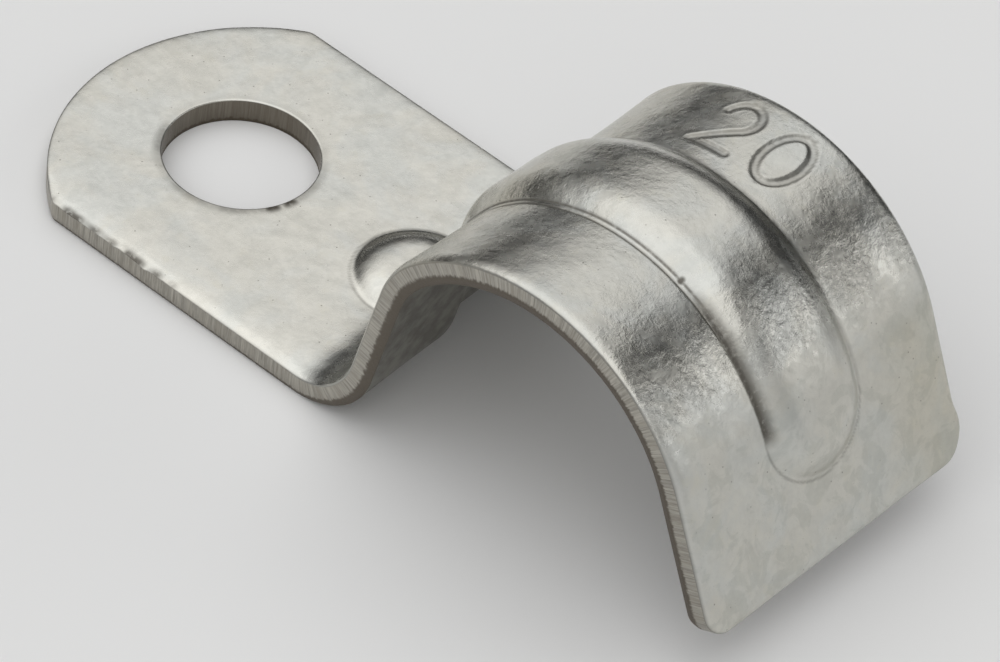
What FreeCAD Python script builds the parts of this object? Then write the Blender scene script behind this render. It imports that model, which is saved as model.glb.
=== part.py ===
import FreeCAD, Part

import math
import os

# One-hole conduit strap, pressed and folded from a single strip of zinc-plated steel sheet.
# Millimetres, +Z up. The pad lies flat on the wall plane z = 0, and the origin is the centre of
# the screw hole on that plane. +X runs along the strip from the hole to the free end, and +Y runs
# across it. The "wall side" of the sheet touches the wall and the conduit, and the "outer side"
# is the other face: it carries the rib, and the blanking punch entered the sheet from it.

Vector = FreeCAD.Vector
NODE = "strap"

# The strip
STRIP_WIDTH = 20.0
SHEET = 1.5

# The pad, from its rounded end to the first fold
HOLE_DIAMETER = 8.5
PAD_END_RADIUS = 11.9
PAD_END_CENTRE = 2.25
PAD_CORNER_RADIUS = 0.8
PAD_TO_FOLD = 13.0

# The folds. A radius is that of the fold's concave face, and turns are in degrees.
FOOT_RADIUS = 3.7
FOOT_TURN = 78.2
RISER = 6.1
SHOULDER_RADIUS = 5.2
SHOULDER_TURN = 31.7
SADDLE_RADIUS = 9.75
SADDLE_TURN = 112.2
LEG = 8.3
LEG_CORNER_RADIUS = 1.5

# The stiffening rib, pressed outwards along the middle of the strip through every fold. It ends
# in a half round a little way onto each flat.
RIB_HEIGHT = 0.85
RIB_WIDTH = 7.2
RIB_CROWN = 2.6
RIB_OUTER_CREASE = 0.5
RIB_GROOVE_CREASE = 1.0
RIB_ON_PAD = 0.3
RIB_ON_LEG = 0.35

# The edges of the outer side that the punch draws in, kept here as narrow bevels
ROLLED_EDGE = 0.25
ROLLED_RIM = 0.2

ACROSS = Vector(0, 1, 0)
UP = Vector(0, 0, 1)
NEAR = 0.01


class Track:
    """A station that walks along the wall side of the strip and sweeps a section as it goes.

    A section is a face in the YZ plane: Y across the strip, Z out from the wall side.
    """

    def __init__(self, x):
        self.point = Vector(x, 0, 0)
        self.heading = 0.0

    def ahead(self):
        angle = math.radians(self.heading)
        return Vector(math.cos(angle), 0, math.sin(angle))

    def outward(self):
        angle = math.radians(self.heading)
        return Vector(-math.sin(angle), 0, math.cos(angle))

    def place(self, shape):
        """A copy of a shape drawn at the origin, moved to this station."""
        placed = shape.copy()
        placed.Placement = FreeCAD.Placement(self.point, FreeCAD.Rotation(ACROSS, -self.heading))
        return placed

    def straight(self, section, length):
        """Sweep the section ahead."""
        step = self.ahead() * length
        solid = self.place(section).extrude(step)
        self.point = self.point + step
        return solid

    def fold(self, section, radius, turn):
        """Sweep the section round a fold. A positive turn folds away from the wall side.

        Then the concave face is the outer one, and the wall side's radius is larger by the sheet.
        """
        side = 1 if turn > 0 else -1
        wall_radius = radius + SHEET if turn > 0 else radius
        centre = self.point + self.outward() * (side * wall_radius)
        solid = self.place(section).revolve(centre, ACROSS * -side, abs(turn))
        self.heading += turn
        self.point = centre - self.outward() * (side * wall_radius)
        return solid


def rib_curve(base, crease):
    """Half of one face of the rib, from its flat crown out to the flat of the strip.

    The points are the crown's edge, then the middle and end of the convex arc, then the middle
    and end of the concave arc of the crease. Both arcs turn through the same angle.
    """
    crown = RIB_CROWN / 2
    foot = RIB_WIDTH / 2
    reach = foot - crown
    both_radii = (reach ** 2 + RIB_HEIGHT ** 2) / (2 * RIB_HEIGHT)
    convex = both_radii - crease
    slope = math.asin(reach / both_radii)
    half = slope / 2
    top = base + RIB_HEIGHT
    return (
        (crown, top),
        (crown + convex * math.sin(half), top - convex * (1 - math.cos(half))),
        (crown + convex * math.sin(slope), top - convex * (1 - math.cos(slope))),
        (foot - crease * math.sin(half), base + crease * (1 - math.cos(half))),
        (foot, base),
    )


def line(start, end):
    return Part.makeLine(Vector(0, *start), Vector(0, *end))


def arc(start, middle, end):
    return Part.Arc(Vector(0, *start), Vector(0, *middle), Vector(0, *end)).toShape()


def face_of(edges):
    return Part.Face(Part.Wire(Part.__sortEdges__(edges)))


def rib_outline():
    """The rib's two faces on the +Y side, from its middle out to its creases."""
    edges = []
    for base, crease in ((SHEET, RIB_OUTER_CREASE), (0, RIB_GROOVE_CREASE)):
        curve = rib_curve(base, crease)
        edges.append(line((0, base + RIB_HEIGHT), curve[0]))
        edges.append(arc(*curve[0:3]))
        edges.append(arc(*curve[2:5]))
    return edges


def ribbed_section():
    """The whole width of the strip, with the rib in its middle and its outer corners drawn in."""
    foot = RIB_WIDTH / 2
    side = STRIP_WIDTH / 2
    wall_end = SHEET - ROLLED_EDGE
    face_end = side - ROLLED_EDGE
    edges = rib_outline()
    edges.append(line((foot, 0), (side, 0)))
    edges.append(line((side, 0), (side, wall_end)))
    edges.append(line((side, wall_end), (face_end, SHEET)))
    edges.append(line((face_end, SHEET), (foot, SHEET)))
    mirrored = [edge.mirror(Vector(0, 0, 0), ACROSS) for edge in edges]
    return face_of(edges + mirrored)


def half_rib_section():
    """The rib alone, from its middle out to its creases on the +Y side."""
    foot = RIB_WIDTH / 2
    edges = rib_outline()
    edges.append(line((foot, 0), (foot, SHEET)))
    edges.append(line((0, RIB_HEIGHT), (0, SHEET + RIB_HEIGHT)))
    return face_of(edges)


def end_rib(flat, track, half_turn):
    """Close the rib on a flat: its half section turned half round the normal of the sheet.

    The turned end takes the place of a disc of the flat.
    """
    disc = Part.makeCylinder(RIB_WIDTH / 2, SHEET)
    dome = half_rib_section().revolve(Vector(0, 0, 0), UP, half_turn)
    return [flat.cut(track.place(disc)), track.place(dome)]


def finish_outline(plate, corner_radius, free):
    """Round a plate's upright corners, then draw in its outer side's edges.

    The free test takes an edge's bounding box, and leaves out the end that joins the ribbed run.
    """
    corners = []
    for edge in plate.Edges:
        box = edge.BoundBox
        if box.ZLength > SHEET / 2 and box.XLength < NEAR and box.YLength < NEAR and free(box):
            corners.append(edge)
    plate = plate.makeFillet(corner_radius, corners)
    rim = [edge for edge in plate.Edges if edge.BoundBox.ZMin > SHEET - NEAR and free(edge.BoundBox)]
    return plate.makeChamfer(ROLLED_EDGE, rim)


def screw_hole():
    """The material that the hole removes, with its rim drawn in on the outer side."""
    radius = HOLE_DIAMETER / 2
    wall_end = SHEET - ROLLED_RIM
    above = SHEET * 2
    profile = face_of([
        line((0, 0), (radius, 0)),
        line((radius, 0), (radius, wall_end)),
        line((radius, wall_end), (radius + ROLLED_RIM, SHEET)),
        line((radius + ROLLED_RIM, SHEET), (radius + ROLLED_RIM, above)),
        line((radius + ROLLED_RIM, above), (0, above)),
        line((0, above), (0, 0)),
    ])
    return profile.revolve(Vector(0, 0, 0), UP, 360)


def pad_flat():
    """The flat that takes the screw, from its rounded end to the start of the ribbed run."""
    end = PAD_TO_FOLD - RIB_ON_PAD
    half = STRIP_WIDTH / 2
    tip = PAD_END_CENTRE - PAD_END_RADIUS
    straight = Part.makeBox(end - PAD_END_CENTRE, STRIP_WIDTH, SHEET, Vector(PAD_END_CENTRE, -half, 0))
    end_piece = Part.makeBox(PAD_END_RADIUS, STRIP_WIDTH, SHEET, Vector(tip, -half, 0))
    end_disc = Part.makeCylinder(PAD_END_RADIUS, SHEET, Vector(PAD_END_CENTRE, 0, 0))
    plate = straight.fuse(end_piece.common(end_disc)).removeSplitter()
    plate = finish_outline(plate, PAD_CORNER_RADIUS, lambda box: box.XMin < end - NEAR)
    return plate.cut(screw_hole())


def leg_flat():
    """The free leg past the ribbed run, drawn at the origin and running ahead."""
    length = LEG - RIB_ON_LEG
    plate = Part.makeBox(length, STRIP_WIDTH, SHEET, Vector(0, -STRIP_WIDTH / 2, 0))
    return finish_outline(plate, LEG_CORNER_RADIUS, lambda box: box.XMax > NEAR)


def strap():
    """The two flats and the ribbed, folded run between them, as one solid."""
    section = ribbed_section()
    track = Track(PAD_TO_FOLD - RIB_ON_PAD)
    pieces = end_rib(pad_flat(), track, 180)
    pieces.append(track.straight(section, RIB_ON_PAD))
    pieces.append(track.fold(section, FOOT_RADIUS, FOOT_TURN))
    pieces.append(track.straight(section, RISER))
    pieces.append(track.fold(section, SHOULDER_RADIUS, -SHOULDER_TURN))
    pieces.append(track.fold(section, SADDLE_RADIUS, -SADDLE_TURN))
    pieces.append(track.straight(section, RIB_ON_LEG))
    pieces += end_rib(track.place(leg_flat()), track, -180)
    return pieces[0].multiFuse(pieces[1:]).removeSplitter()


os.makedirs("parts", exist_ok=True)
body = strap()
print("solids", len(body.Solids), "valid", body.isValid(), "volume", round(body.Volume, 1))
body.exportStep(f"parts/{NODE}.step")
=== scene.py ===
"""A one-hole conduit strap of zinc-plated steel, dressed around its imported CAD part.

The strip is modelled flat, as the press shop starts it, and then folded. On the flat strip U runs
along the outer side from the middle of the screw hole to the free end, V runs across, and W is the
height over the wall side. The shape is drawn in millimetres and scaled at the end.
"""

import math
from functools import partial, reduce

import bmesh
import bpy
from bpy.props import FloatProperty, FloatVectorProperty, PointerProperty, StringProperty
from mathutils import Matrix, Vector, noise


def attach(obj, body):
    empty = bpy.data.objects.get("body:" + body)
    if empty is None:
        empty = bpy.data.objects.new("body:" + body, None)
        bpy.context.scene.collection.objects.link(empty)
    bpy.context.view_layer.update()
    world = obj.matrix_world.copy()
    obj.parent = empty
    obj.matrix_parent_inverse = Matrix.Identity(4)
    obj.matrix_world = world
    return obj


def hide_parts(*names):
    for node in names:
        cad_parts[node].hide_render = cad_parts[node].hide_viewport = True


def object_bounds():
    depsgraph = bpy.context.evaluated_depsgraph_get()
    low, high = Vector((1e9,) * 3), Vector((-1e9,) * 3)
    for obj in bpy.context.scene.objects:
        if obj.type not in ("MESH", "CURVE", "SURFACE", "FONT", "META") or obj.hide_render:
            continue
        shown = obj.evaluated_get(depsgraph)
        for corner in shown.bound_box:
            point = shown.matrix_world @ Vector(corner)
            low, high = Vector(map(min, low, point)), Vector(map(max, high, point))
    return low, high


bl_info = {
    "name": "Conduit Strap",
    "version": (1, 0, 0),
    "blender": (4, 5, 0),
    "location": "3D View > Sidebar > Strap",
    "description": "Builds a folded one-hole conduit strap and its studio",
    "category": "Add Mesh",
}

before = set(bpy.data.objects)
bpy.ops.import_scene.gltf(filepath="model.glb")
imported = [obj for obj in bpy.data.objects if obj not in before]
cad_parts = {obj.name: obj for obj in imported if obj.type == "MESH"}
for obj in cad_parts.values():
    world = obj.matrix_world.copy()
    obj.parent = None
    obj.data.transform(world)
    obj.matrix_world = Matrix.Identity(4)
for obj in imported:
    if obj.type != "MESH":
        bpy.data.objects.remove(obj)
CAD_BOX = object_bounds()

MM = 0.001
NODE = "strap"
BODY = "root"


class StrapSizes(bpy.types.PropertyGroup):
    strip_width: FloatProperty(
        name="Strip width",
        description="Width of the strip",
        default=CAD_BOX[1].y - CAD_BOX[0].y,
        unit="LENGTH",
    )
    sheet: FloatProperty(
        name="Sheet",
        description="Thickness of the sheet",
        default=1.5 * MM,
        unit="LENGTH",
    )
    hole_radius: FloatProperty(
        name="Hole radius",
        description="Radius of the screw hole",
        default=4.25 * MM,
        unit="LENGTH",
    )
    pad_end_radius: FloatProperty(
        name="Pad end radius",
        description="Radius of the pad's rounded end",
        default=11.9 * MM,
        unit="LENGTH",
    )
    pad_end_centre: FloatProperty(
        name="Pad end centre",
        description="Distance from the hole's centre to the centre of the rounded end",
        default=2.25 * MM,
        unit="LENGTH",
    )
    pad_to_fold: FloatProperty(
        name="Pad to fold",
        description="Distance from the hole's centre to the foot fold",
        default=13.0 * MM,
        unit="LENGTH",
    )
    foot_radius: FloatProperty(
        name="Foot radius",
        description="Radius of the foot fold on its concave face",
        default=3.7 * MM,
        unit="LENGTH",
    )
    foot_turn: FloatProperty(
        name="Foot turn",
        description="Angle of the foot fold",
        default=math.radians(78.2),
        unit="ROTATION",
    )
    riser: FloatProperty(
        name="Riser",
        description="Straight length between the foot fold and the shoulder",
        default=6.1 * MM,
        unit="LENGTH",
    )
    shoulder_radius: FloatProperty(
        name="Shoulder radius",
        description="Radius of the shoulder fold on its concave face",
        default=5.2 * MM,
        unit="LENGTH",
    )
    shoulder_turn: FloatProperty(
        name="Shoulder turn",
        description="Angle of the shoulder fold",
        default=math.radians(31.7),
        unit="ROTATION",
    )
    saddle_radius: FloatProperty(
        name="Saddle radius",
        description="Radius of the saddle on the conduit's side",
        default=9.75 * MM,
        unit="LENGTH",
    )
    saddle_turn: FloatProperty(
        name="Saddle turn",
        description="Angle that the saddle turns through",
        default=math.radians(112.2),
        unit="ROTATION",
    )
    leg: FloatProperty(
        name="Leg",
        description="Straight length of the free leg",
        default=8.3 * MM,
        unit="LENGTH",
    )
    leg_corner: FloatProperty(
        name="Leg corner radius",
        description="Radius of the free leg's corners",
        default=1.5 * MM,
        unit="LENGTH",
    )
    rib_height: FloatProperty(
        name="Rib height",
        description="Height that the rib is pressed out by",
        default=0.85 * MM,
        unit="LENGTH",
    )
    rib_width: FloatProperty(
        name="Rib width",
        description="Width of the rib between its creases",
        default=7.2 * MM,
        unit="LENGTH",
    )
    rib_crown: FloatProperty(
        name="Rib crown",
        description="Width of the flat along the rib's top",
        default=2.6 * MM,
        unit="LENGTH",
    )
    die_roll: FloatProperty(
        name="Die roll",
        description="Width of the rounding that the punch leaves along the outer edges",
        default=0.7 * MM,
        unit="LENGTH",
    )
    number: StringProperty(
        name="Number",
        description="Plain number stamped on the saddle",
        default="20",
    )


class StrapFinish(bpy.types.PropertyGroup):
    warm_zinc: FloatVectorProperty(
        name="Warm zinc",
        description="Colour of the plating where it is warmest",
        subtype="COLOR",
        default=(0.69, 0.675, 0.615),
    )
    cool_zinc: FloatVectorProperty(
        name="Cool zinc",
        description="Colour of the plating where it is coolest",
        subtype="COLOR",
        default=(0.67, 0.672, 0.632),
    )
    sheared: FloatVectorProperty(
        name="Sheared steel",
        description="Colour of the cut edges",
        subtype="COLOR",
        default=(0.42, 0.4, 0.355),
    )


class StudioSettings(bpy.types.PropertyGroup):
    floor_colour: FloatVectorProperty(
        name="Floor colour",
        description="Colour of the floor",
        subtype="COLOR",
        default=(0.86, 0.86, 0.855),
    )
    dome_strength: FloatProperty(
        name="Dome strength",
        description="Brightness of the studio's dome",
        default=1.0,
        min=0.0,
    )


# The strip's path through its folds


class Run:
    """One straight or fold of the strip, as the outer side walks along it."""

    def __init__(self, start, length, point, heading, radius=0.0, side=0):
        self.start = start
        self.end = start + length
        self.point = point
        self.heading = heading
        self.radius = radius
        self.side = side

    def at(self, u):
        """The point on the outer side and the heading there."""
        if not self.side:
            ahead = Vector((math.cos(self.heading), math.sin(self.heading)))
            return self.point + ahead * (u - self.start), self.heading
        heading = self.heading + self.side * (u - self.start) / self.radius
        reach = self.side * self.radius
        centre = self.point + outward(self.heading) * reach
        return centre - outward(heading) * reach, heading


def outward(heading):
    return Vector((-math.sin(heading), math.cos(heading)))


class Strip:
    """Every length of the strap in millimetres, and its runs."""

    def __init__(self, sizes):
        for name, prop in sizes.bl_rna.properties.items():
            if prop.type == "FLOAT":
                scale = MM if prop.unit == "LENGTH" else 1
                setattr(self, name, getattr(sizes, name) / scale)
        self.half = self.strip_width / 2
        self.number = sizes.number
        self.runs = []
        outer_shoulder = self.shoulder_radius + self.sheet
        outer_saddle = self.saddle_radius + self.sheet
        tip = self.pad_end_centre - self.pad_end_radius
        plan = (
            (self.pad_to_fold - tip, 0, 0),
            (self.foot_turn * self.foot_radius, self.foot_radius, 1),
            (self.riser, 0, 0),
            (self.shoulder_turn * outer_shoulder, outer_shoulder, -1),
            (self.saddle_turn * outer_saddle, outer_saddle, -1),
            (self.leg, 0, 0),
        )
        start, point, heading = tip, Vector((tip, self.sheet)), 0.0
        for length, radius, side in plan:
            run = Run(start, length, point, heading, radius, side)
            self.runs.append(run)
            start = run.end
            point, heading = run.at(start)
        self.end = start
        self.foot, self.upright, self.shoulder, self.saddle = self.runs[1:5]

    def fold(self, place):
        """Carry a point of the flat strip to its place on the folded one."""
        u, v, w = place
        run = next((run for run in self.runs if u <= run.end), self.runs[-1])
        point, heading = run.at(u)
        point = point + outward(heading) * (w - self.sheet)
        return Vector((point.x, v, point.y))


# Numerals are strokes in a box one unit wide and this tall, with bows in steps of so many degrees
NUMERAL_TALL = 1.5
BOW_STEP = 15


def bow(x, y, wide, tall, start, end):
    """Points along an elliptical bow of a numeral's stroke, with the angles in degrees."""
    count = max(4, round(abs(end - start) / BOW_STEP))
    points = []
    for i in range(count + 1):
        angle = math.radians(start + (end - start) * i / count)
        points.append((x + wide * math.cos(angle), y + tall * math.sin(angle)))
    return points


NUMERALS = {
    "0": [bow(0.5, 0.75, 0.48, 0.75, 90, 450)],
    "1": [[(0.2, 1.15), (0.58, 1.5), (0.58, 0)]],
    "2": [bow(0.5, 1.04, 0.46, 0.46, 165, -42) + [(0, 0), (1, 0)]],
    "3": [bow(0.48, 1.12, 0.42, 0.38, 150, -80) + bow(0.48, 0.38, 0.48, 0.38, 80, -150)],
    "4": [[(0.75, 0), (0.75, 1.5), (0, 0.45), (1, 0.45)]],
    "5": [[(0.9, 1.5), (0.18, 1.5), (0.1, 0.8)] + bow(0.48, 0.46, 0.5, 0.46, 125, -150)],
    "6": [bow(0.5, 0.45, 0.46, 0.45, 0, 360), bow(0.95, 0.5, 0.92, 1, 95, 180)],
    "7": [[(0, 1.5), (1, 1.5), (0.4, 0)]],
    "8": [bow(0.5, 1.14, 0.38, 0.36, 0, 360), bow(0.5, 0.39, 0.48, 0.39, 0, 360)],
    "9": [bow(0.5, 1.05, 0.46, 0.45, 0, 360), bow(0.05, 1, 0.92, 1, -85, 0)],
}


def spaced(marks):
    """Places from the first mark to the last. Each mark after the first is (place, step)."""
    places = [marks[0]]
    for end, step in marks[1:]:
        start = places[-1]
        count = max(1, round(abs(end - start) / step))
        places += [start + (end - start) * i / count for i in range(1, count + 1)]
    return places


def arc_points(centre, radius, start, end, count):
    """Points along an arc, with both ends."""
    points = []
    for i in range(count + 1):
        angle = start + (end - start) * i / count
        points.append(centre + Vector((math.cos(angle), math.sin(angle))) * radius)
    return points


# Mesh spacing in millimetres: where the rings round the hole meet the rows, and the steps
JOIN = 8.0
COARSE = 0.35
FINE = 0.13
CREASE_STEP = 0.06
STAMP_STEP = 0.11
FOOT_STEP = 0.2
RISER_STEP = 0.4
SHOULDER_STEP = 0.25
SADDLE_STEP = 0.3
OUTLINE_STEP = 0.22
BORDER = 1.0

# The fine rows under the stamped number along U, and where its fine columns start across V
STAMP_ROWS = (33.4, 40.4)
STAMP_COLUMN = 4.6
STAMP_SIDE_STEP = 0.2

# Room for fine columns outside and inside the rib's crease, and for fine rows round its ends
CREASE_OUTSIDE = 0.25
CREASE_INSIDE = 0.4
CREASE_FAR = 0.2
RIB_END_ON_PAD = 4.0
RIB_END_ON_LEG = 4.1
ROOM_BEFORE_FOOT = 0.1

# The pad's corners, and the parts that its arcs are drawn in
PAD_CORNER = 0.8
CORNER_PARTS = 5
TIP_PARTS = 60
LEG_CORNER_CUTS = 3

# Where the rings lie between the hole's rim and the pad's outline; the end gaps hold the roll
RING_SHARES = (0.2, 0.29, 0.38, 0.47, 0.56, 0.65, 0.74, 0.82, 1.0)

# Places closer than this are the same
SAME = 1e-4


def columns_of(strip):
    """Places across the strip, closest along the rib's crease on the -V side and by the number."""
    half = strip.half
    edge = half - BORDER
    rib = strip.rib_width / 2
    return spaced([
        -half, (-edge, BORDER), (-rib - CREASE_OUTSIDE, COARSE), (-rib + CREASE_INSIDE, CREASE_STEP),
        (rib + CREASE_FAR, FINE), (STAMP_COLUMN, STAMP_SIDE_STEP), (edge, STAMP_STEP), (half, BORDER),
    ])


def rows_of(strip):
    """Places along the strip from where the rings end, closest at the rib's ends and the number."""
    end = strip.end
    stamp_start, stamp_end = STAMP_ROWS
    return spaced([
        JOIN, (strip.pad_to_fold - RIB_END_ON_PAD, COARSE), (strip.pad_to_fold - ROOM_BEFORE_FOOT, FINE),
        (strip.foot.end, FOOT_STEP), (strip.upright.end, RISER_STEP),
        (strip.shoulder.end, SHOULDER_STEP), (stamp_start, SADDLE_STEP), (stamp_end, STAMP_STEP),
        (strip.saddle.end, SADDLE_STEP), (strip.saddle.end + RIB_END_ON_LEG, FINE),
        (end - strip.leg_corner, COARSE), (end - BORDER, BORDER / 2), (end, BORDER),
    ])


def pad_outline(strip, columns):
    """Points round the pad, starting along the line where it joins the rows."""
    half = strip.half
    end_centre = Vector((strip.pad_end_centre, 0))
    drop = half - PAD_CORNER
    reach = strip.pad_end_radius - PAD_CORNER
    corner = Vector((strip.pad_end_centre - math.sqrt(reach**2 - drop**2), drop))
    lean = math.atan2(drop, corner.x - strip.pad_end_centre)
    join = [Vector((JOIN, v)) for v in columns]
    far_side = [Vector((x, half)) for x in spaced([JOIN, (corner.x, OUTLINE_STEP)])[1:-1]]
    far_side += arc_points(corner, PAD_CORNER, math.pi / 2, lean, CORNER_PARTS)
    tip = arc_points(end_centre, strip.pad_end_radius, lean, 2 * math.pi - lean, TIP_PARTS)[1:-1]
    near_side = [Vector((point.x, -point.y)) for point in reversed(far_side)]
    return join + far_side + tip + near_side


def extruded(bm, edges, move):
    """Extrude a chain of edges, place each new vertex, and return the new chain."""
    made = bmesh.ops.extrude_edge_only(bm, edges=edges)["geom"]
    verts = {item for item in made if isinstance(item, bmesh.types.BMVert)}
    for vert in verts:
        vert.co = move(vert)
    made_edges = (item for item in made if isinstance(item, bmesh.types.BMEdge))
    return [edge for edge in made_edges if verts.issuperset(edge.verts)]


def ring_place(target, hole_radius, share):
    """A share of the way out from the hole's rim to a point of the pad's outline."""
    rim = target.normalized().to_3d() * hole_radius
    return rim * (1 - share) + target.to_3d() * share


def at_leg_corner(strip, place):
    """Whether a place is in the square that a corner of the free leg is rounded within."""
    along = place.x > strip.end - strip.leg_corner - SAME
    return along and abs(place.y) > strip.half - strip.leg_corner - SAME


def flat_plate(strip):
    """The strip's outline as one flat layer: rings round the hole, then rows to the free end."""
    bm = bmesh.new()
    columns = columns_of(strip)
    outline = pad_outline(strip, columns)
    order = bm.verts.layers.int.new("order")
    circle = bmesh.ops.create_circle(bm, segments=len(outline), radius=strip.hole_radius)["verts"]
    for index, vert in enumerate(circle):
        vert[order] = index
        vert.co = (outline[index].normalized() * strip.hole_radius).to_3d()
    chain = bm.edges[:]
    for share in RING_SHARES:
        chain = extruded(
            bm, chain, lambda vert: ring_place(outline[vert[order]], strip.hole_radius, share)
        )
    last = len(columns) - 1
    chain = [edge for edge in chain if all(vert[order] <= last for vert in edge.verts)]
    for u in rows_of(strip)[1:]:
        chain = extruded(bm, chain, lambda vert: Vector((u, vert.co.y, 0)))
    corner = [
        edge for edge in bm.edges
        if edge.is_boundary and edge.calc_length() > BORDER / 3
        and all(at_leg_corner(strip, vert.co) for vert in edge.verts)
    ]
    bmesh.ops.bisect_edges(bm, edges=corner, cuts=LEG_CORNER_CUTS)
    for vert in bm.verts:
        vert.co = rounded_leg_corner(strip, vert.co)
    bmesh.ops.recalc_face_normals(bm, faces=bm.faces[:])
    if sum(face.normal.z for face in bm.faces) < 0:
        bmesh.ops.reverse_faces(bm, faces=bm.faces[:])
    return bm


def rounded_leg_corner(strip, place):
    """Draw the square corner of the free end in to a quarter circle."""
    radius = strip.leg_corner
    across = (abs(place.y) - strip.half + radius) / radius
    along = (place.x - strip.end + radius) / radius
    if across <= 0 or along <= 0:
        return place
    shrink = max(across, along) / math.hypot(across, along)
    v = math.copysign(strip.half - radius + across * shrink * radius, place.y)
    return Vector((strip.end - radius + along * shrink * radius, v, place.z))


# The cut edge, from the outer side down: the punch's roll, the sheared land, the torn part, the burr
ROLL_STEPS = 8
ROLL_DEPTH = 0.26
SHEAR_LEVELS = 4
TEAR_HEIGHT = 0.36
TEAR_TAPER = 0.1
BURR_LINE = 0.04

# Height of a face's normal: below the first it belongs to the cut edge, above the second to a side
STEEP = 0.5
LEVEL = 0.9


def inset(bm, faces, width, rise):
    """Draw the rim of some faces in, move them out along their normals, and return the new rim."""
    return bmesh.ops.inset_region(
        bm, faces=faces, use_boundary=True, use_even_offset=True, thickness=width, depth=rise
    )["faces"]


def thicken(bm, strip):
    """Give the plate its thickness.

    From the outer side down its edge has the punch's roll, the sheared land, the torn part that
    tapers in, and the broken corner on the wall side.
    """
    outer = bm.faces[:]
    copied = bmesh.ops.duplicate(bm, geom=bm.verts[:] + bm.edges[:] + outer)["geom"]
    wall = [item for item in copied if isinstance(item, bmesh.types.BMFace)]
    bmesh.ops.reverse_faces(bm, faces=wall)
    wall_verts = [item for item in copied if isinstance(item, bmesh.types.BMVert)]
    bmesh.ops.translate(bm, verts=wall_verts, vec=(0, 0, TEAR_HEIGHT))
    outer_verts = {vert for face in outer for vert in face.verts}
    land = strip.sheet - ROLL_DEPTH - TEAR_HEIGHT
    bmesh.ops.translate(bm, verts=list(outer_verts), vec=(0, 0, TEAR_HEIGHT + land))
    rim = [edge for edge in bm.edges if edge.is_boundary and outer_verts.issuperset(edge.verts)]
    step = Vector((0, 0, -land / SHEAR_LEVELS))
    for _ in range(SHEAR_LEVELS):
        rim = extruded(bm, rim, lambda vert: vert.co + step)
    bmesh.ops.remove_doubles(bm, verts=bm.verts[:], dist=SAME)
    sheared = [face for face in bm.faces if abs(face.normal.z) < STEEP]
    outer = [face for face in bm.faces if face.normal.z > LEVEL]
    wall = [face for face in bm.faces if face.normal.z < -LEVEL]
    turn = math.pi / 2 / ROLL_STEPS
    for index in range(ROLL_STEPS):
        start, end = turn * index, turn * (index + 1)
        width = strip.die_roll * (math.cos(start) - math.cos(end))
        inset(bm, outer, width, ROLL_DEPTH * (math.sin(end) - math.sin(start)))
    sheared += inset(bm, wall, TEAR_TAPER, TEAR_HEIGHT - BURR_LINE)
    sheared += inset(bm, wall, BURR_LINE, BURR_LINE)
    for face in sheared:
        face.material_index = 1


# The wear and the pressing, worked out at a place on the flat strip


def smooth(value, low, high):
    """0 below the low mark, 1 above the high one, and smooth between."""
    share = min(max((value - low) / (high - low), 0), 1)
    return share * share * (3 - 2 * share)


def swell(u, start, end):
    """A smooth bump from 0 at the start through 1 in the middle to 0 at the end."""
    if not start < u < end:
        return 0.0
    return math.sin(math.pi * (u - start) / (end - start)) ** 2


def between(table, u):
    """The value of a table of (place, value) marks at U, smooth from mark to mark."""
    if u <= table[0][0]:
        return table[0][1]
    for (start, low), (end, high) in zip(table, table[1:]):
        if u <= end:
            return low + (high - low) * smooth(u, start, end)
    return table[-1][1]


def ripple(u, grain, seed):
    """Noise along U, about -1 to 1, with so many grains to a millimetre."""
    return noise.noise(Vector((u * grain, 0, seed)))


def on_pad(strip, u, room):
    """1 on the pad, fading to 0 over the foot fold from so far before it."""
    return 1 - smooth(u, strip.pad_to_fold - room, strip.foot.end)


def near_rim(strip, u, v, band, end):
    """1 on the pad's edge on the -V side. It fades across a band, and along U where the wear ends."""
    return smooth(-v, strip.half - band[0], strip.half - band[1]) * (1 - smooth(u, *end))


# How much of the punch's roll is left round the hole, on the pad's far side and on its near side
HOLE_ROLL = 0.2
FAR_ROLL = 0.3
NEAR_ROLL = 0.5
ROLL_SLACK = 0.01

# The far roll gives way to the near one over this band from the -V edge. Each fades out over the
# foot fold, from so far before it
NEAR_BAND = (0.7, 1.4)
FAR_ROOM = 3
NEAR_ROOM = 1

# Wear of the near roll by the tip: where it ends, how deep it is and how much it wanders
WORN_END = (3.0, 5.5)
WORN = 0.55
WORN_SPREAD = 0.25
WORN_GRAIN = 1.2


def roll_share(strip, u, v):
    """How much of the punch's roll a place on the rim has: less round the pad's far side and tip."""
    far = smooth(v, -strip.half + NEAR_BAND[0], -strip.half + NEAR_BAND[1]) * on_pad(strip, u, FAR_ROOM)
    worn = (1 - smooth(u, *WORN_END)) * (WORN + WORN_SPREAD * ripple(u, WORN_GRAIN, 2))
    near = max(worn, (1 - NEAR_ROLL) * on_pad(strip, u, NEAR_ROOM))
    return 1 - max(far * (1 - FAR_ROLL), near * (1 - far))


def draw_in_hole(strip, place):
    """Narrow the roll round the hole, which the punch cuts sharper than the outline."""
    out = place.xy.length - strip.hole_radius
    if out > strip.die_roll + ROLL_SLACK:
        return place
    rim = place.xy.normalized() * (strip.hole_radius + out * HOLE_ROLL)
    return Vector((rim.x, rim.y, place.z))


# The burr on the pad's near edge: its band, where it ends, its ripples (height, grains to a
# millimetre, seed) and its lumps and nick (start, end, height)
BURR_BAND = (0.55, 0.1)
BURR_END = (3.6, 4.4)
BURR_RIPPLES = ((0.03, 1.3, 7), (0.02, 2.6, 9))
BURR_LUMPS = ((-5.4, -4.0, 0.08), (0.2, 1.9, 0.06), (1.9, 3.1, -0.12))


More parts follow.
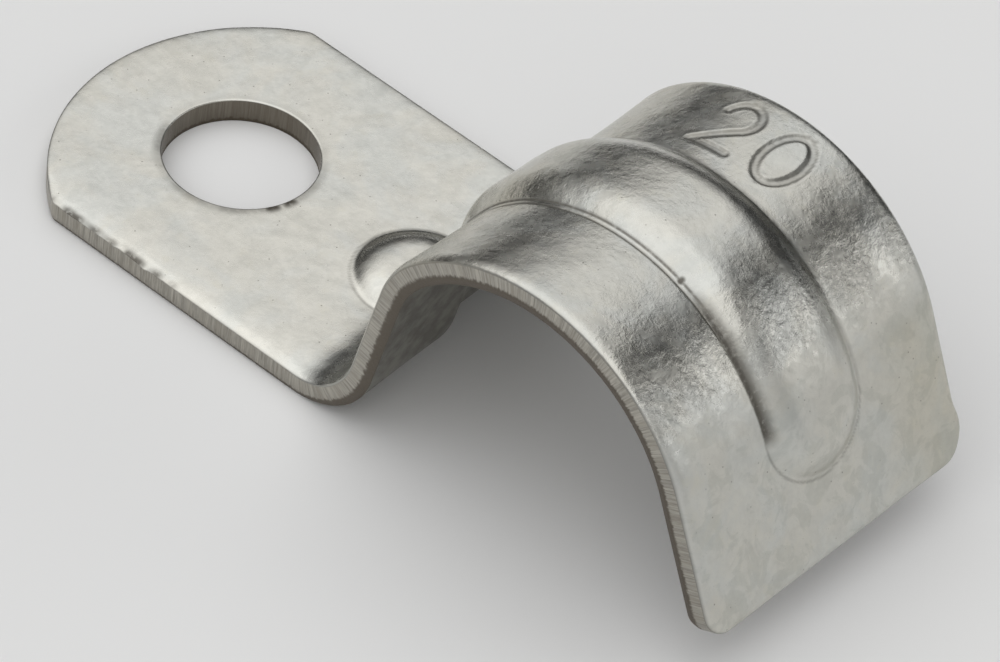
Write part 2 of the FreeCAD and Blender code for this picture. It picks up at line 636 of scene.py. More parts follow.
def edge_burr(strip, u, v):
    """Height of the ragged burr and the nick along the pad's edge on the -V side."""
    rim = near_rim(strip, u, v, BURR_BAND, BURR_END)
    if rim == 0:
        return 0.0
    ragged = sum(height * ripple(u, grain, seed) for height, grain, seed in BURR_RIPPLES)
    lumps = sum(height * swell(u, start, end) for start, end, height in BURR_LUMPS)
    return rim * (ragged + lumps)


# How far the near edge of the pad sinks, and over what width
SLUMP = 0.2
SLUMP_WIDTH = 1.9


def pad_slump(strip, u, v):
    """How far the pad sinks towards its edge on the -V side."""
    share = max(SLUMP_WIDTH - strip.half - v, 0) / SLUMP_WIDTH
    return SLUMP * share**2 * on_pad(strip, u, NEAR_ROOM)


# The rib runs on past the folds before its ends round off, and its creases have these radii
RIB_PAST_FOOT = 0.3
RIB_PAST_SADDLE = 0.35
WALL_CREASE = 1.0
OUTER_CREASE = 0.5


def from_rib(strip, u, v):
    """How far a place is from the rib's middle line, which stops where its ends round off."""
    past = max(strip.pad_to_fold - RIB_PAST_FOOT - u, u - strip.saddle.end - RIB_PAST_SADDLE, 0)
    return math.hypot(past, v)


def rib_profile(strip, distance, crease):
    """Height of the rib at a distance from its middle, for a crease of the given radius."""
    crown = strip.rib_crown / 2
    foot = strip.rib_width / 2
    if distance <= crown:
        return strip.rib_height
    if distance >= foot:
        return 0.0
    reach = foot - crown
    both = (reach**2 + strip.rib_height**2) / (2 * strip.rib_height)
    convex = both - crease
    turn = crown + convex * reach / both
    if distance <= turn:
        return strip.rib_height - convex + math.sqrt(convex**2 - (distance - crown) ** 2)
    return crease - math.sqrt(crease**2 - (foot - distance) ** 2)


# How far the middle of the strip stands out from its edges along U, where a fold pulls it
DRIFT = (
    (11.8, 0.0), (15.0, 0.24), (20.0, 0.26), (23.5, 0.16), (27.0, -0.22), (31.0, -0.22),
    (37.0, -0.16), (46.0, -0.16), (50.5, 0.0),
)

# How far the folds and the press push the edges out, and where that starts and ends
FOOT_BULGE = 0.16
FOOT_ROOM = 0.8
SADDLE_BULGE = 0.05
SADDLE_ROOM = 1.0
FLARE = 0.2
FLARE_SPAN = (3.2, 0.6)
BULGE_FROM = 0.75


def edge_bulge(strip, u, v, outer):
    """How far the edge is pushed out, where outer is 0 on the wall side and 1 on the outer side."""
    bulge = FOOT_BULGE * swell(u, strip.pad_to_fold - FOOT_ROOM, strip.foot.end + FOOT_ROOM) * outer
    bulge += SADDLE_BULGE * swell(u, strip.upright.end, strip.saddle.end + SADDLE_ROOM) * (0.5 - outer)
    bulge += FLARE * swell(u, strip.end - FLARE_SPAN[0], strip.end - FLARE_SPAN[1]) * (v > 0)
    return bulge


# The stamped number: its place along U and V, its numerals, how near a place has to be for it to
# matter, and the groove and ridge of a stroke
STAMP_START = 34.0
STAMP_BASE = 4.9
STAMP_WIDE = 2.3
STAMP_TALL = 3.9
STAMP_PITCH = 3.5
STAMP_DEPTH = 0.09
STAMP_ROOM = 1
STAMP_REACH = 8
GROOVE_WALL = (0.12, 0.28)
RIDGE = 0.012
RIDGE_PLACE = 0.36
RIDGE_REACH = 0.14


def stamp_strokes(strip):
    strokes = []
    for place, digit in enumerate(strip.number):
        left = STAMP_START + STAMP_PITCH * place
        for stroke in NUMERALS[digit]:
            strokes.append([
                Vector((left + x * STAMP_WIDE, STAMP_BASE + y * STAMP_TALL / NUMERAL_TALL))
                for x, y in stroke
            ])
    return strokes


def by_number(u, v):
    """Whether a place is near enough to the number for its strokes to matter."""
    return STAMP_START - STAMP_ROOM < u < STAMP_START + STAMP_REACH and v > STAMP_BASE - STAMP_ROOM


def stroke_distance(point, strokes):
    """How far a point of the flat strip lies from the nearest stroke."""
    nearest = math.inf
    for stroke in strokes:
        for start, end in zip(stroke, stroke[1:]):
            span = end - start
            share = (point - start).dot(span) / span.length_squared
            foot = start + span * min(max(share, 0), 1)
            nearest = min(nearest, (point - foot).length)
    return nearest


def stamped(away):
    """Height of the stamp at a distance from a stroke: a groove, with a ridge beside it."""
    ridge = RIDGE * (1 - smooth(abs(away - RIDGE_PLACE), 0.0, RIDGE_REACH))
    return ridge - STAMP_DEPTH * (1 - smooth(away, *GROOVE_WALL))


# The rib's witness lines: how far out from the crease each lies and how deep it is, the length
# that they rise over after the foot fold, where they fade, and half the width of each
WITNESS_PAIR = ((0.03, 0.035), (-0.26, 0.025))
WITNESS_RISE = 5
WITNESS_FADE = (43.0, 50.0)
WITNESS_HALF = 0.09


def witness_line(strip, u, v):
    """Depth of the two fine lines that the rib's die leaves along its crease on the -V side."""
    if v > 0:
        return 0.0
    fade = smooth(u, strip.foot.end, strip.foot.end + WITNESS_RISE) * (1 - smooth(u, *WITNESS_FADE))
    out = -v - strip.rib_width / 2
    depths = (depth * (1 - smooth(abs(out - place), 0.0, WITNESS_HALF)) for place, depth in WITNESS_PAIR)
    return fade * sum(depths)


# Slow waves of the sheet: grains to a millimetre, seed and height. They die out towards the edges
WAVES = ((0.35, 0, 0.03), (0.9, 5, 0.008))
WAVE_FADE = 0.8

# Shares of the thickness: the roll lies above the first, and the burr rises between the others
ROLL_FROM = 0.8
BURR_RISE = (0.6, 0.85)


def relief(strip, strokes, place):
    """Move a point of the flat strip by its edge's wear, the rib, the folds' pull and the stamp."""
    u, v, w = place
    outer = w / strip.sheet
    across = abs(v) / strip.half
    from_hole = math.hypot(u, v)
    if outer > ROLL_FROM:
        w = strip.sheet - (strip.sheet - w) * roll_share(strip, u, v)
    w += edge_burr(strip, u, v) * smooth(outer, *BURR_RISE)
    w -= pad_slump(strip, u, v) * outer
    crease = WALL_CREASE - (WALL_CREASE - OUTER_CREASE) * outer
    w += rib_profile(strip, from_rib(strip, u, v), crease) + between(DRIFT, u) * (1 - across**2)
    v += math.copysign(edge_bulge(strip, u, v, outer) * smooth(across, BULGE_FROM, 1.0), v)
    if outer > 0.5:
        w -= witness_line(strip, u, v)
        if by_number(u, v):
            w += stamped(stroke_distance(Vector((u, v)), strokes))
    wave = sum(height * noise.noise(Vector((u, v, seed)) * grain) for grain, seed, height in WAVES)
    wave *= 1 - smooth(across, WAVE_FADE, 1.0)
    w += wave * smooth(from_hole, strip.hole_radius, strip.hole_radius + 1)
    return Vector((u, v, w))


# Painted shade in the rib's crease: how strong it is and where it thins out, measured across the crease
CREASE_ROOM = 1.0
CREASE_SHADE = 0.36
CREASE_THIN = (0.02, 0.12)

# Dirt in the witness lines: strength, thinning, the length it rises over and where it fades
WITNESS_DIRT = 0.8
WITNESS_THIN = (0.02, 0.1)
WITNESS_DIRT_RISE = 4
WITNESS_DIRT_FADE = (43.0, 46.0)

# A painted shadow on the rib's flank where the saddle comes down to the leg: strength, where it
# comes and goes along U, and how far up the flank
FLANK_SHADOW = 0.9
FLANK_START = (40.5, 43.5)
FLANK_END = (49.6, 50.8)
FLANK_FOOT = (-0.12, 0.02)
FLANK_TOP = (0.1, 0.85)

# Dirt in the stamped strokes: beside the groove's floor, and on it
LIP_DIRT = 0.6
LIP_PLACE = 0.2
LIP_THIN = (0.03, 0.14)
GROOVE_DIRT = 0.25
GROOVE_THIN = (0.1, 0.25)

# Dirt on the ragged near edge: strength, band, where it ends, its grain and what the noise lets show
EDGE_DIRT = 0.9
EDGE_DIRT_BAND = (0.5, 0.1)
EDGE_DIRT_END = (4.0, 5.0)
EDGE_DIRT_GRAIN = 0.9
EDGE_DIRT_MARKS = (-0.35, 0.1)


def crease_shade_and_grime(strip, u, v):
    """Painted shade along the rib's crease, dirt in its witness lines, and a painted shadow on its
    flank.
    """
    out = from_rib(strip, u, v) - strip.rib_width / 2
    if abs(out) >= CREASE_ROOM:
        return 0.0
    # Painted shade: a dark line along the rib's crease on both sides
    line = CREASE_SHADE * (1 - smooth(abs(out), *CREASE_THIN))
    if v >= 0:
        return line
    risen = smooth(u, strip.foot.end, strip.foot.end + WITNESS_DIRT_RISE)
    pair = sum(1 - smooth(abs(out - middle), *WITNESS_THIN) for middle, _ in WITNESS_PAIR)
    witness = WITNESS_DIRT * risen * (1 - smooth(u, *WITNESS_DIRT_FADE)) * pair
    # Painted shadow on the lower part of the rib's flank on the -V side, from the saddle down to the leg
    dark = smooth(u, *FLANK_START) * (1 - smooth(u, *FLANK_END))
    flank = FLANK_SHADOW * dark * smooth(-out, *FLANK_FOOT) * (1 - smooth(-out, *FLANK_TOP))
    return max(line, witness, flank)


def grime_and_painted_shade(strip, strokes, place):
    """How dark the outer side is painted at a place: dirt in the stamp, the witness lines and on the
    ragged edge, painted shade in the rib's crease and a painted shadow on its flank.
    """
    u, v, w = place
    if w < strip.sheet / 2:
        return 0.0
    rim = near_rim(strip, u, v, EDGE_DIRT_BAND, EDGE_DIRT_END)
    edge = EDGE_DIRT * rim * smooth(ripple(u, EDGE_DIRT_GRAIN, 4), *EDGE_DIRT_MARKS)
    dirt_and_shade = [crease_shade_and_grime(strip, u, v), edge]
    if by_number(u, v):
        away = stroke_distance(Vector((u, v)), strokes)
        dirt_and_shade.append(LIP_DIRT * (1 - smooth(abs(away - LIP_PLACE), *LIP_THIN)))
        dirt_and_shade.append(GROOVE_DIRT * (1 - smooth(away, *GROOVE_THIN)))
    return max(dirt_and_shade)


# Faces that meet at less than this angle shade as one
SHADE_ANGLE = math.radians(32)


def strap_mesh(strip):
    """The whole folded strap as a bmesh in millimetres, with its flat place kept on each vertex."""
    bm = flat_plate(strip)
    thicken(bm, strip)
    strokes = stamp_strokes(strip)
    flat = bm.verts.layers.float_vector.new("flat")
    # This layer holds dirt and painted shade: shade in the rib's crease and a shadow on its flank, with
    # dirt in the witness lines, the stamp and the ragged edge
    dirt_and_shade = bm.verts.layers.float.new("grime_and_painted_shade")
    for vert in bm.verts:
        vert.co = draw_in_hole(strip, vert.co)
        vert[flat] = vert.co
        vert[dirt_and_shade] = grime_and_painted_shade(strip, strokes, vert.co)
        vert.co = relief(strip, strokes, vert.co)
    for vert in bm.verts:
        vert.co = strip.fold(vert.co)
    bm.normal_update()
    for face in bm.faces:
        face.smooth = True
    for edge in bm.edges:
        edge.smooth = edge.calc_face_angle(0) < SHADE_ANGLE
    return bm


# Finishes


class Shader:
    """A material's node tree, with short ways to add nodes and links."""

    def __init__(self, name):
        self.material = bpy.data.materials.new(name)
        self.material.use_nodes = True
        self.tree = self.material.node_tree
        self.surface = self.tree.nodes["Principled BSDF"]

    def add(self, kind, **settings):
        node = self.tree.nodes.new("ShaderNode" + kind)
        for name, value in settings.items():
            setattr(node, name, value)
        return node

    def feed(self, socket, value):
        """Link an output to a socket, or set the socket to a plain value."""
        if isinstance(value, bpy.types.NodeSocket):
            self.tree.links.new(value, socket)
        else:
            socket.default_value = value

    def flat_place(self):
        """Millimetres on the flat strip: along, across and through the sheet."""
        return self.add("Attribute", attribute_name="flat").outputs["Vector"]

    def scaled(self, place, scale):
        node = self.add("Mapping")
        self.feed(node.inputs["Vector"], place)
        self.feed(node.inputs["Scale"], scale)
        return node.outputs["Vector"]

    def axes(self, place):
        node = self.add("SeparateXYZ")
        self.feed(node.inputs[0], place)
        return node.outputs

    def noise(self, place, scale, detail=3.0, rough=0.5, distortion=0.0):
        node = self.add("TexNoise")
        for name, value in (
            ("Vector", place), ("Scale", scale), ("Detail", detail), ("Roughness", rough),
            ("Distortion", distortion),
        ):
            self.feed(node.inputs[name], value)
        return node.outputs["Fac"]

    def away(self, place, middle):
        """How far a place is from a middle point."""
        node = self.add("VectorMath", operation="DISTANCE")
        self.feed(node.inputs[0], place)
        self.feed(node.inputs[1], middle)
        return node.outputs["Value"]

    def near(self, place, middle, reach):
        """1 at a middle point, down to 0 at a reach from it."""
        return self.span(self.away(place, middle), reach, reach * 0.3)

    def specks(self, place, scale, size):
        """1 inside scattered round specks and 0 between them."""
        node = self.add("TexVoronoi", feature="F1")
        self.feed(node.inputs["Vector"], place)
        self.feed(node.inputs["Scale"], scale)
        return self.span(node.outputs["Distance"], size, size * 0.4)

    def span(self, value, low, high, start=0.0, end=1.0):
        """From the start to the end, smoothly, as the value goes from the low mark to the high one."""
        node = self.add("MapRange", interpolation_type="SMOOTHSTEP")
        for name, number in (
            ("Value", value), ("From Min", low), ("From Max", high), ("To Min", start), ("To Max", end),
        ):
            self.feed(node.inputs[name], number)
        return node.outputs["Result"]

    def band(self, value, middle, reach):
        """1 where a value is at the middle, down to 0 at a reach from it."""
        return self.span(self.math("ABSOLUTE", self.math("SUBTRACT", value, middle)), reach, 0.0)

    def math(self, operation, first, second=0.0):
        node = self.add("Math", operation=operation)
        self.feed(node.inputs[0], first)
        self.feed(node.inputs[1], second)
        return node.outputs[0]

    def product(self, *values):
        return reduce(partial(self.math, "MULTIPLY"), values)

    def total(self, *values):
        return reduce(partial(self.math, "ADD"), values)

    def most(self, *values):
        """The greatest of some values."""
        return reduce(partial(self.math, "MAXIMUM"), values)

    def mix(self, factor, first, second, kind="MIX"):
        """Mix two colours, each an output or a red, green and blue."""
        node = self.add("Mix", data_type="RGBA", blend_type=kind)
        self.feed(node.inputs["Factor"], factor)
        for socket, colour in zip((node.inputs[6], node.inputs[7]), (first, second)):
            self.feed(socket, (*colour, 1) if isinstance(colour, tuple) else colour)
        return node.outputs[2]

    def bump(self, height, distance, after=None):
        """Turn a height into a bump that is so many millimetres deep."""
        node = self.add("Bump")
        self.feed(node.inputs["Distance"], distance * MM)
        self.feed(node.inputs["Height"], height)
        if after:
            self.feed(node.inputs["Normal"], after)
        return node.outputs["Normal"]


def tinted(colour, amount):
    return tuple(channel * amount for channel in colour)


# Patterns of noise on the sheet: grains to a millimetre, detail, roughness and distortion
CLOUD = (0.24, 3.0, 0.6, 0.6)
BLOTCH = (0.55, 5.0, 0.62, 0.9)
MOTTLE = (1.6, 6.0, 0.75)
STAIN = (0.8, 4.0, 0.65)
GRIME_AND_SHADE_GRAIN = (3.0, 4.0, 0.65)
HAZE = (0.9, 4.0, 0.65)
PATCH = (0.35, 2.0, 0.5)
CRINKLE = (2.9, 5.0, 0.64, 0.4)
DENT = (0.7, 2.0, 0.5)
SKIN = (10.0, 2.0, 0.5)

# Specks: how many to a millimetre and how large
PITS = (1.6, 0.1)
FINE_PITS = (4.0, 0.14)

# Depths of the bumps, in millimetres
DENT_DEPTH = 0.035
CRINKLE_DEPTH = 0.036
SKIN_DEPTH = 0.004

# Tints that darken the zinc, the colours of stains, and one dark colour for dirt and painted shade
BLOTCH_TINT = (0.9, 0.91, 0.905)
DRAWN_TINT = (0.87, 0.875, 0.88)
SHOULDER_TINT = (0.93, 0.9, 0.84)
FAR_LEG_TINT = (0.95, 0.93, 0.88)
STAIN_COLOUR = (0.5, 0.47, 0.36)
DIRT_AND_SHADE_COLOUR = (0.1, 0.09, 0.075)

# Where the shoulder's tint is strongest along U, and where the saddle is most crinkled, each with
# its reach
SHOULDER_TINT_AT = (28.5, 6.0)
CRINKLED_SADDLE = (45.4, 2.6)

# Dirty spots by the hole and elsewhere on the flat strip: middle, reach and strength
HOLE_SPOTS = (
    ((4.5, -0.9), 0.7, 1.0), ((4.1, -1.9), 0.7, 1.0), ((2.7, -3.5), 1.6, 0.5),
    ((-3.7, -2.4), 2.0, 0.5),
)
OTHER_SPOTS = (((16.2, -8.6), 1.0, 0.45), ((40.7, -3.35), 0.28, 0.9))

# The dirty ring round the hole: how far out from the rim, and its reach
RING_OUT = 0.15
RING_REACH = 0.55


class ZincPlate(Shader):
    """Bright zinc on pressed sheet.

    It is clouded from warm to cool, blotched by its dip, pebbled where the folds stretch it, specked
    with fine pits, grimed where dirt lodges, lined dark along the foot of its roll, and darkened with
    painted shade in the rib's crease, on its flank and on the wall side.
    """

    def __init__(self, strip, finish):
        super().__init__("zinc_plate")
        self.strip = strip
        self.place = self.flat_place()
        self.u, self.v, self.w = self.axes(self.place)
        self.cloud = self.noise(self.place, *CLOUD)
        self.stained = self.noise(self.place, *STAIN)
        self.mottle = self.noise(self.place, *MOTTLE)
        on_leg = self.span(self.u, strip.saddle.end - 5, strip.saddle.end, 0.3, 0.75)
        self.blotch = self.product(self.span(self.noise(self.place, *BLOTCH), 0.5, 0.57), on_leg)
        dirt_and_shade = self.dirt_and_shade()
        # The base colour darkens towards one dark colour both for dirt and pits and for painted shade in
        # the crease, on the flank and on the wall side
        self.feed(self.surface.inputs["Base Color"], self.mix(dirt_and_shade, self.tints(finish), DIRT_AND_SHADE_COLOUR))
        self.feed(self.surface.inputs["Roughness"], self.roughness(dirt_and_shade))
        self.feed(self.surface.inputs["Normal"], self.bumps())
        self.surface.inputs["Metallic"].default_value = 1.0

    def tints(self, finish):
        """Colour of the clean plating, duller in blotches, past the riser and on the far leg."""
        strip, u = self.strip, self.u
        clouds = self.span(self.cloud, 0.38, 0.62)
        colour = self.mix(clouds, tuple(finish.cool_zinc), tuple(finish.warm_zinc))
        drawn = self.span(u, strip.upright.end, strip.shoulder.end)
        by_shoulder = self.band(u, *SHOULDER_TINT_AT)
        far_side = self.span(self.v, 3.0, 9.0)
        far_leg = self.product(far_side, self.span(u, strip.saddle.end - 3, strip.saddle.end))
        for share, tint in (
            (self.blotch, BLOTCH_TINT), (drawn, DRAWN_TINT), (by_shoulder, SHOULDER_TINT),
            (far_leg, FAR_LEG_TINT), (1.0, self.span(self.mottle, 0.3, 0.7, 0.95, 1.05)),
        ):
            colour = self.mix(share, colour, tint, "MULTIPLY")
        return self.mix(self.product(self.span(self.stained, 0.56, 0.7), 0.16), colour, STAIN_COLOUR)

    def dirt_and_shade(self):
        """Everything dark on the plating: pits, lodged dirt, painted shade, and the wall side's dull
        skin and painted shade.
        """
        pits = self.product(self.specks(self.place, *PITS), self.span(self.cloud, 0.38, 0.56), 0.5)
        fine = self.product(self.specks(self.place, *FINE_PITS), self.span(self.mottle, 0.45, 0.65), 0.3)
        # The wall side is darkened partly for its dull skin and partly as painted shade, where the arch
        # and the floor shade its inner faces
        skin = self.span(self.w, 0.35, 0.1, 0.0, 0.78)
        dull_skin_and_shade = self.product(skin, self.span(self.stained, 0.3, 0.65, 0.7, 1.0))
        return self.most(pits, fine, self.lodged_dirt_and_shade(), dull_skin_and_shade)

    def lodged_dirt_and_shade(self):
        """Painted shade in the crease and on the rib's flank, dirt in the witness lines, the number and
        the ragged edge, round the hole and in spots, and a dark line along the foot of the roll.
        """
        strip = self.strip
        # The attribute brings the painted crease shade and flank shadow along with the dirt
        grime_and_shade_marks = self.add("Attribute", attribute_name="grime_and_painted_shade").outputs["Fac"]
        from_middle = self.away(self.place, (0, 0, strip.sheet))
        rim = self.band(from_middle, strip.hole_radius + RING_OUT, RING_REACH)
        side = self.math("SUBTRACT", self.product(self.u, 0.6), self.product(self.v, 0.8))
        patches = self.span(self.stained, 0.35, 0.55, 0.5, 1.0)
        ring = self.product(rim, self.span(side, -2.0, 3.5, 0.12, 0.45), patches)
        spots = [
            self.product(self.near(self.place, (*middle, strip.sheet), reach), level, within)
            for group, within in ((HOLE_SPOTS, rim), (OTHER_SPOTS, 1.0))
            for middle, reach, level in group
        ]
        grain = self.span(self.noise(self.place, *GRIME_AND_SHADE_GRAIN), 0.3, 0.52, 0.65, 1.0)
        # A dark line painted along the foot of the punch's roll, where it meets the sheared land
        under_roll = self.product(self.band(self.w, strip.sheet - ROLL_DEPTH, 0.17), 0.62)
        return self.most(self.product(self.most(grime_and_shade_marks, ring, *spots), grain), under_roll)

    def roughness(self, dirt_and_shade):
        """Hazy all over, rougher in blotches, dirt and painted shade, and matt from a ragged edge before
        the leg.
        """
        haze = self.span(self.noise(self.place, *HAZE), 0.3, 0.75, 0.21, 0.3)
        ragged = self.total(self.u, self.span(self.stained, 0.3, 0.7, -0.7, 0.7))
        matt = self.span(ragged, self.strip.saddle.end - 3.3, self.strip.saddle.end - 2.6)
        return self.total(
            haze, self.product(self.blotch, 0.05), self.product(matt, 0.12), self.product(dirt_and_shade, 0.25)
        )

    def bumps(self):
        """Slow dents, crinkles where the sheet is stretched, and the fine skin of the dip."""
        strip, place, u = self.strip, self.place, self.u
        over_folds = self.product(
            self.span(u, strip.upright.end - 1, strip.shoulder.end),
            self.span(u, strip.saddle.end + 0.5, strip.saddle.end - 3),
        )
        at_foot = self.product(self.band(u, (strip.pad_to_fold + strip.foot.end) / 2, 3.5), 0.6)
        patchy = self.span(self.noise(place, *PATCH), 0.35, 0.65, 0.35, 1.0)
        crinkle = self.product(
            self.noise(place, *CRINKLE),
            self.total(self.product(self.most(over_folds, at_foot), patchy, 0.85), 0.15),
            self.total(self.product(self.band(u, *CRINKLED_SADDLE), 1.6), 1.0),
        )
        normal = self.bump(self.noise(place, *DENT), DENT_DEPTH)
        normal = self.bump(crinkle, CRINKLE_DEPTH, normal)
        return self.bump(self.noise(place, *SKIN), SKIN_DEPTH, normal)


# Patterns on the cut edge, and how far each is drawn out through the sheet
DRAWN_MARKS = (8.0, 4.0, 0.8)
BROAD_MARKS = (1.6, 3.0, 0.6)
RAGGED_LINE = (5.0, 4.0, 0.7)
TORN_GRAIN = (6.0, 4.0, 0.7)
DRAWN_OUT = (1, 1, 0.04)
BROAD_OUT = (1, 1, 0.15)
RAGGED_OUT = (1, 1, 0.3)

# Colours of rusty marks, the torn band and the hole's bore, and the tints of the drawn marks
BROWNED = (0.27, 0.245, 0.2)
TORN_COLOUR = (0.17, 0.15, 0.125)
BORE_COLOUR = (0.11, 0.09, 0.065)
MARK_TINTS = (0.62, 1.2)
BORE_SHARE = 0.72

# Height of the torn band on the pad and past the foot fold
TORN_HEIGHTS = (0.2, 0.52)
MARK_DEPTH = 0.02
TORN_DEPTH = 0.06


def sheared_finish(strip, finish):
    """Cut steel: fine drawn marks on the sheared land, and a dark torn band by the wall side."""
    cut = Shader("sheared_edge")
    place = cut.flat_place()
    u, _, w = cut.axes(place)
    base = tuple(finish.sheared)
    drawn = cut.noise(cut.scaled(place, DRAWN_OUT), *DRAWN_MARKS)
    broad = cut.noise(cut.scaled(place, BROAD_OUT), *BROAD_MARKS)
    land = cut.mix(cut.span(drawn, 0.32, 0.68), *(tinted(base, amount) for amount in MARK_TINTS))
    land = cut.mix(cut.span(broad, 0.45, 0.75, 0.0, 0.45), land, BROWNED)
    ragged = cut.noise(cut.scaled(place, RAGGED_OUT), *RAGGED_LINE)
    height = cut.span(u, strip.pad_to_fold - 4, strip.foot.end, *TORN_HEIGHTS)
    line = cut.total(height, cut.span(ragged, 0.2, 0.8, -0.1, 0.14))
    torn = cut.span(cut.math("SUBTRACT", w, line), 0.1, -0.1)
    from_axis = cut.away(cut.scaled(place, (1, 1, 0)), (0, 0, 0))
    bore = cut.span(from_axis, strip.hole_radius + 1.0, strip.hole_radius + 0.9, 0.0, BORE_SHARE)
    colour = cut.mix(bore, cut.mix(torn, land, TORN_COLOUR), BORE_COLOUR)
    cut.feed(cut.surface.inputs["Base Color"], colour)
    cut.feed(cut.surface.inputs["Roughness"], cut.span(torn, 0.0, 1.0, 0.36, 0.6))
    normal = cut.bump(drawn, MARK_DEPTH)
    normal = cut.bump(cut.product(cut.noise(place, *TORN_GRAIN), torn), TORN_DEPTH, normal)
    cut.feed(cut.surface.inputs["Normal"], normal)
    cut.surface.inputs["Metallic"].default_value = 1.0
    return cut.material


class STRAP_OT_build_strap(bpy.types.Operator):
    """Build the folded strap with its rib, hole, sheared edges and stamped number"""

    bl_idname = "strap.build_strap"
    bl_label = "Build Strap"
    bl_options = {"REGISTER", "UNDO"}

    def execute(self, context):
        scene = context.scene
        strip = Strip(scene.strap_sizes)
        bm = strap_mesh(strip)
        bmesh.ops.scale(bm, vec=(MM, MM, MM), verts=bm.verts[:])
        mesh = bpy.data.meshes.new("pressed_strap")
        bm.to_mesh(mesh)
        bm.free()
        strap = bpy.data.objects.new("pressed_strap", mesh)
        scene.collection.objects.link(strap)
        strap.data.materials.append(ZincPlate(strip, scene.strap_finish).material)
        strap.data.materials.append(sheared_finish(strip, scene.strap_finish))
        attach(strap, BODY)
        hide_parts(NODE)
        return {"FINISHED"}


class STRAP_OT_set_stage(bpy.types.Operator):
    """Lay the floor, light the studio and place the camera"""

    bl_idname = "strap.set_stage"
    bl_label = "Set Stage"
    bl_options = {"REGISTER", "UNDO"}

    def execute(self, context):
        scene = context.scene
        settings = scene.strap_studio
        lay_floor(scene, settings)
        light_dome(scene, settings)
        place_camera(scene)
        scene.view_settings.view_transform = "Standard"
        return {"FINISHED"}


# Half the floor's width, the gap that keeps it clear of the pad, and its roughness
FLOOR_HALF = 2.0
FLOOR_GAP = 0.02 * MM
FLOOR_ROUGHNESS = 0.9


def lay_floor(scene, settings):
    bm = bmesh.new()
    bmesh.ops.create_grid(bm, x_segments=1, y_segments=1, size=FLOOR_HALF)
    bmesh.ops.translate(bm, verts=bm.verts[:], vec=(0, 0, CAD_BOX[0].z - FLOOR_GAP))
    mesh = bpy.data.meshes.new("floor")
    bm.to_mesh(mesh)
    bm.free()
    floor = bpy.data.objects.new("floor", mesh)
    scene.collection.objects.link(floor)
    paint = Shader("floor_paint")
    paint.surface.inputs["Base Color"].default_value = (*settings.floor_colour, 1)
    paint.surface.inputs["Roughness"].default_value = FLOOR_ROUGHNESS
    floor.data.materials.append(paint.material)


def compass(azimuth, elevation):
    """The direction at an azimuth from +Y towards +X and an elevation, both in degrees."""
    azimuth, elevation = math.radians(azimuth), math.radians(elevation)
    level = math.cos(elevation)
    return Vector((math.sin(azimuth) * level, math.cos(azimuth) * level, math.sin(elevation)))


class Dome:
    """The world's nodes: light by direction, built up from soft-edged panels."""

    def __init__(self, world):
        self.tree = world.node_tree
        self.direction = self.tree.nodes.new("ShaderNodeTexCoord").outputs["Generated"]

    def math(self, operation, first, second):
        node = self.tree.nodes.new("ShaderNodeMath")
        node.operation = operation
        for socket, value in zip(node.inputs, (first, second)):
            if hasattr(value, "links"):
                self.tree.links.new(value, socket)
            else:
                socket.default_value = value
        return node.outputs[0]

    def towards(self, direction, low, high):
        """From 0 to 1 as the angle's cosine to a direction goes from the low mark to the high one."""
        dot = self.tree.nodes.new("ShaderNodeVectorMath")
        dot.operation = "DOT_PRODUCT"
        self.tree.links.new(self.direction, dot.inputs[0])
        dot.inputs[1].default_value = direction
        spread = self.tree.nodes.new("ShaderNodeMapRange")
        spread.interpolation_type = "SMOOTHSTEP"
        self.tree.links.new(dot.outputs["Value"], spread.inputs["Value"])
        spread.inputs["From Min"].default_value = low
        spread.inputs["From Max"].default_value = high
        return spread.outputs["Result"]


# The light box overhead: the way its side faces, how it fades past that side and down to the
# level, and its brightness over that of the whole dome
BOX_SIDE = (-1.0, -0.48, 0.67)
BOX_SIDE_FADE = (-0.1, 0.16)
BOX_LEVEL_FADE = (0.22, 0.72)
BOX_BRIGHTNESS = 0.94
DOME_BRIGHTNESS = 0.03

# Cards round the strap: azimuth and elevation, degrees from there to the rim of the soft edge and
# to the full light, and brightness
CARDS = (((49, 21), (23, 8), 1.25), ((108, 10), (48, 15), 0.6))

# The key light: azimuth and elevation, the degrees that it spreads over, and its strength
KEY_PLACE = (-165, 55)
KEY_SPREAD = 110
KEY_STRENGTH = 0.55


def light_dome(scene, settings):
    world = bpy.data.worlds.new("studio_dome")
    scene.world = world
    world.use_nodes = True
    dome = Dome(world)
    side = dome.towards(Vector(BOX_SIDE).normalized(), *BOX_SIDE_FADE)
    overhead = dome.math("MULTIPLY", side, dome.towards((0, 0, 1), *BOX_LEVEL_FADE))
    light = dome.math("ADD", dome.math("MULTIPLY", overhead, BOX_BRIGHTNESS), DOME_BRIGHTNESS)
    for place, edges, brightness in CARDS:
        card = dome.towards(compass(*place), *(math.cos(math.radians(edge)) for edge in edges))
        light = dome.math("ADD", light, dome.math("MULTIPLY", card, brightness))
    background = world.node_tree.nodes["Background"]
    background.inputs["Strength"].default_value = settings.dome_strength
    world.node_tree.links.new(light, background.inputs["Color"])
    sun = bpy.data.lights.new("key", "SUN")
    sun.energy = KEY_STRENGTH
    sun.angle = math.radians(KEY_SPREAD)
    lamp = bpy.data.objects.new("key", sun)
    lamp.matrix_world = compass(*KEY_PLACE).to_track_quat("Z", "Y").to_matrix().to_4x4()
    scene.collection.objects.link(lamp)


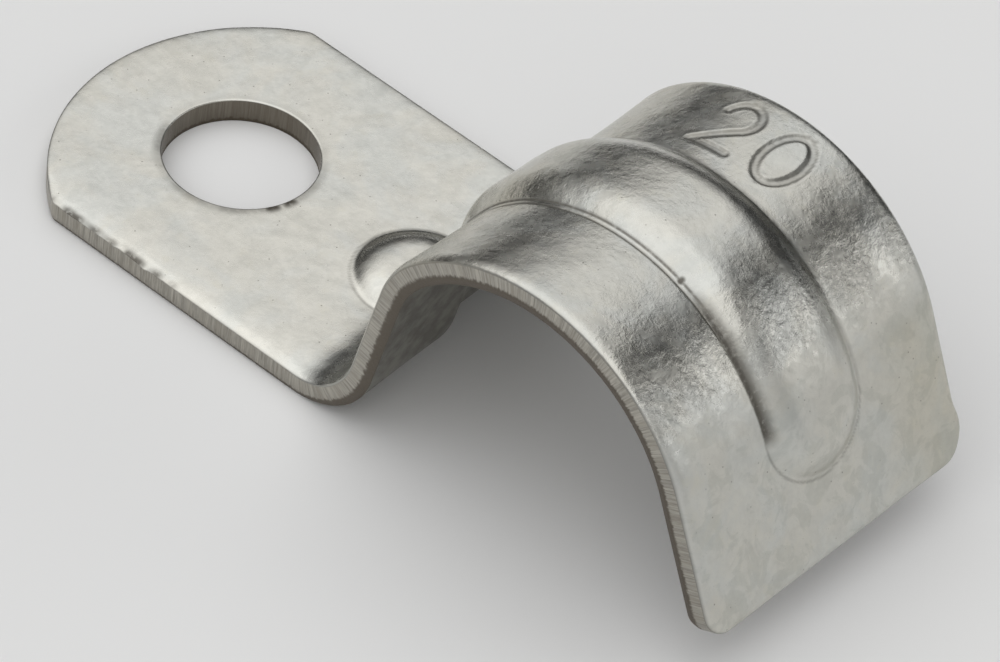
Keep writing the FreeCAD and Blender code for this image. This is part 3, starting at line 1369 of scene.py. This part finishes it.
# The camera's place in metres, the ways its right, top and back face, and its lens in millimetres
CAMERA_PLACE = (0.1679106, -0.2046923, 0.2411829)
CAMERA_RIGHT = (0.74194892, 0.66247899, 0.10311828)
CAMERA_UP = (-0.51555606, 0.46541736, 0.71943633)
CAMERA_BACK = (0.42861842, -0.58694827, 0.68686096)
CAMERA_LENS = 242.39
SENSOR_WIDTH = 36
CLIP = (0.01, 10)


def place_camera(scene):
    data = bpy.data.cameras.new("camera")
    data.lens = CAMERA_LENS
    data.sensor_width = SENSOR_WIDTH
    data.clip_start, data.clip_end = CLIP
    camera = bpy.data.objects.new("camera", data)
    scene.collection.objects.link(camera)
    turn = Matrix((CAMERA_RIGHT, CAMERA_UP, CAMERA_BACK)).transposed().to_4x4()
    camera.matrix_world = Matrix.Translation(CAMERA_PLACE) @ turn
    scene.camera = camera


class STRAP_PT_panel(bpy.types.Panel):
    """Sizes, finish and studio of the strap"""

    bl_idname = "STRAP_PT_panel"
    bl_label = "Conduit Strap"
    bl_space_type = "VIEW_3D"
    bl_region_type = "UI"
    bl_category = "Strap"

    def draw(self, context):
        layout = self.layout
        for group in (context.scene.strap_sizes, context.scene.strap_finish, context.scene.strap_studio):
            box = layout.box()
            for name in group.bl_rna.properties.keys():
                if name not in ("name", "rna_type"):
                    box.prop(group, name)
        for operator in OPERATORS:
            layout.operator(operator.bl_idname)


OPERATORS = (STRAP_OT_build_strap, STRAP_OT_set_stage)
CLASSES = (StrapSizes, StrapFinish, StudioSettings, *OPERATORS, STRAP_PT_panel)


def register():
    for cls in CLASSES:
        bpy.utils.register_class(cls)
    bpy.types.Scene.strap_sizes = PointerProperty(type=StrapSizes)
    bpy.types.Scene.strap_finish = PointerProperty(type=StrapFinish)
    bpy.types.Scene.strap_studio = PointerProperty(type=StudioSettings)


def unregister():
    del bpy.types.Scene.strap_studio
    del bpy.types.Scene.strap_finish
    del bpy.types.Scene.strap_sizes
    for cls in reversed(CLASSES):
        bpy.utils.unregister_class(cls)


def main():
    register()
    bpy.ops.strap.build_strap()
    bpy.ops.strap.set_stage()


if __name__ == "__main__":
    main()
